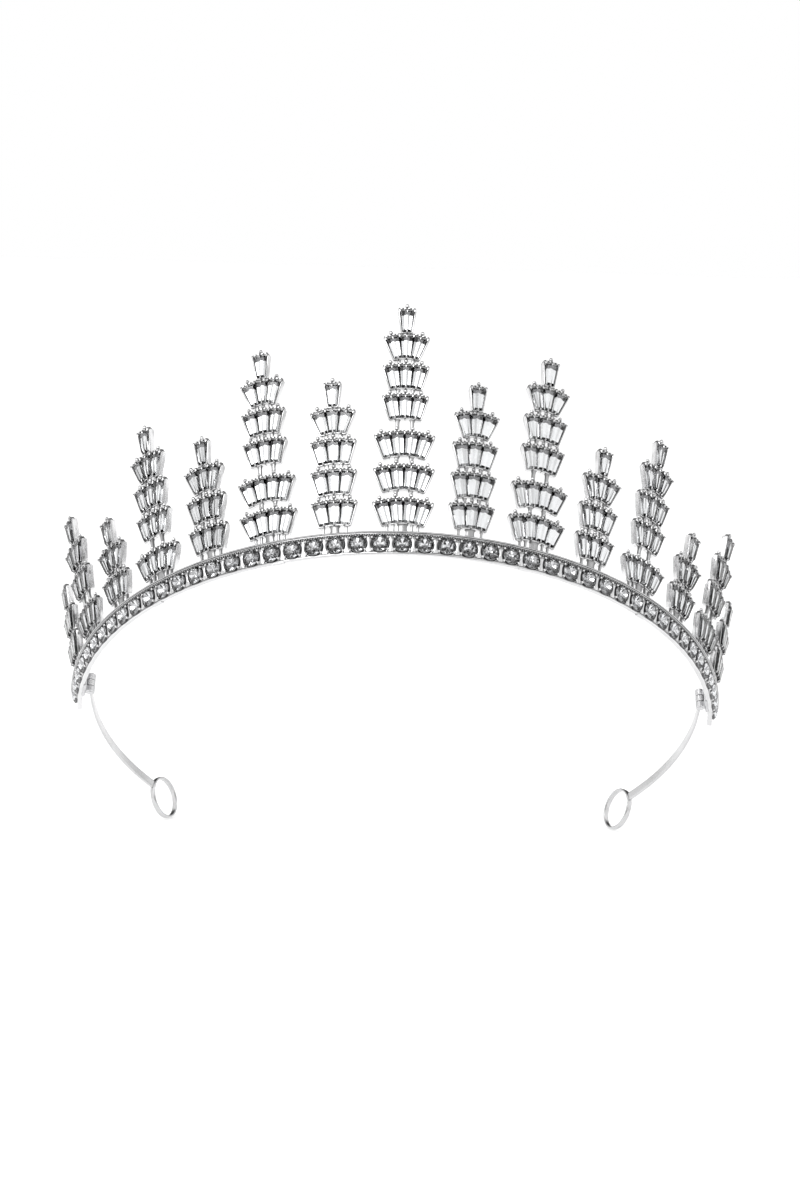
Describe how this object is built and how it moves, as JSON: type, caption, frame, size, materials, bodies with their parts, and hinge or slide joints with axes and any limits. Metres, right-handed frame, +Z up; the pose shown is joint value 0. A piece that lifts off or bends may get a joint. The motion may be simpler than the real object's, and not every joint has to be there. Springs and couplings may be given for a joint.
{
  "type": "bridal tiara",
  "caption": "Bridal tiara with a channel-set band of round stones, tapering spires of fanned baguette stones in trays, and two hinged side arms that end in round loops.",
  "frame": {"origin": "centre of the circle through the band's stones, on the wearer's head", "axes": "+X to the wearer's left as seen from the front (viewer's right), -Y to the front, +Z up as worn; the band's plane is tilted 40 degrees about X with its front raised"},
  "size_m": [0.158, 0.093, 0.1296],
  "materials": {
    "band_metal": "polished silver-coloured plating",
    "spire_metal": "polished silver-coloured plating",
    "hinge_metal": "polished silver-coloured plating",
    "arm_metal": "polished silver-coloured strip",
    "round_crystal": "clear cut crystal",
    "baguette_crystal": "clear step-cut crystal"
  },
  "bodies": {
    "headband": {"band_channel": "band_metal", "band_stones": "round_crystal", "band_seats": "band_metal", "band_prongs": "band_metal", "edge_tabs": "band_metal", "center_spire_frame": "spire_metal", "left_spire_1_frame": "spire_metal", "right_spire_1_frame": "spire_metal", "left_spire_2_frame": "spire_metal", "right_spire_2_frame": "spire_metal", "left_spire_3_frame": "spire_metal", "right_spire_3_frame": "spire_metal", "left_spire_4_frame": "spire_metal", "right_spire_4_frame": "spire_metal", "left_spire_5_frame": "spire_metal", "right_spire_5_frame": "spire_metal", "left_spire_6_frame": "spire_metal", "right_spire_6_frame": "spire_metal", "left_spire_7_frame": "spire_metal", "right_spire_7_frame": "spire_metal", "center_spire_stones": "baguette_crystal", "left_spire_1_stones": "baguette_crystal", "right_spire_1_stones": "baguette_crystal", "left_spire_2_stones": "baguette_crystal", "right_spire_2_stones": "baguette_crystal", "left_spire_3_stones": "baguette_crystal", "right_spire_3_stones": "baguette_crystal", "left_spire_4_stones": "baguette_crystal", "right_spire_4_stones": "baguette_crystal", "left_spire_5_stones": "baguette_crystal", "right_spire_5_stones": "baguette_crystal", "left_spire_6_stones": "baguette_crystal", "right_spire_6_stones": "baguette_crystal", "left_spire_7_stones": "baguette_crystal", "right_spire_7_stones": "baguette_crystal", "left_hinge_bracket": "hinge_metal", "left_hinge_pin": "hinge_metal", "right_hinge_bracket": "hinge_metal", "right_hinge_pin": "hinge_metal"},
    "left_arm": {"left_arm": "arm_metal", "left_end_loop": "arm_metal"},
    "right_arm": {"right_arm": "arm_metal", "right_end_loop": "arm_metal"}
  },
  "joints": [
    {"name": "left_arm_hinge", "type": "hinge", "parent": "headband", "child": "left_arm", "pos_m": [-0.07051, -0.00952, 0.00799], "axis": [0, 0.6428, 0.766], "range_deg": [-25, 8]},
    {"name": "right_arm_hinge", "type": "hinge", "parent": "headband", "child": "right_arm", "pos_m": [0.07051, -0.00952, 0.00799], "axis": [0, -0.6428, -0.766], "range_deg": [-25, 8]}
  ]
}
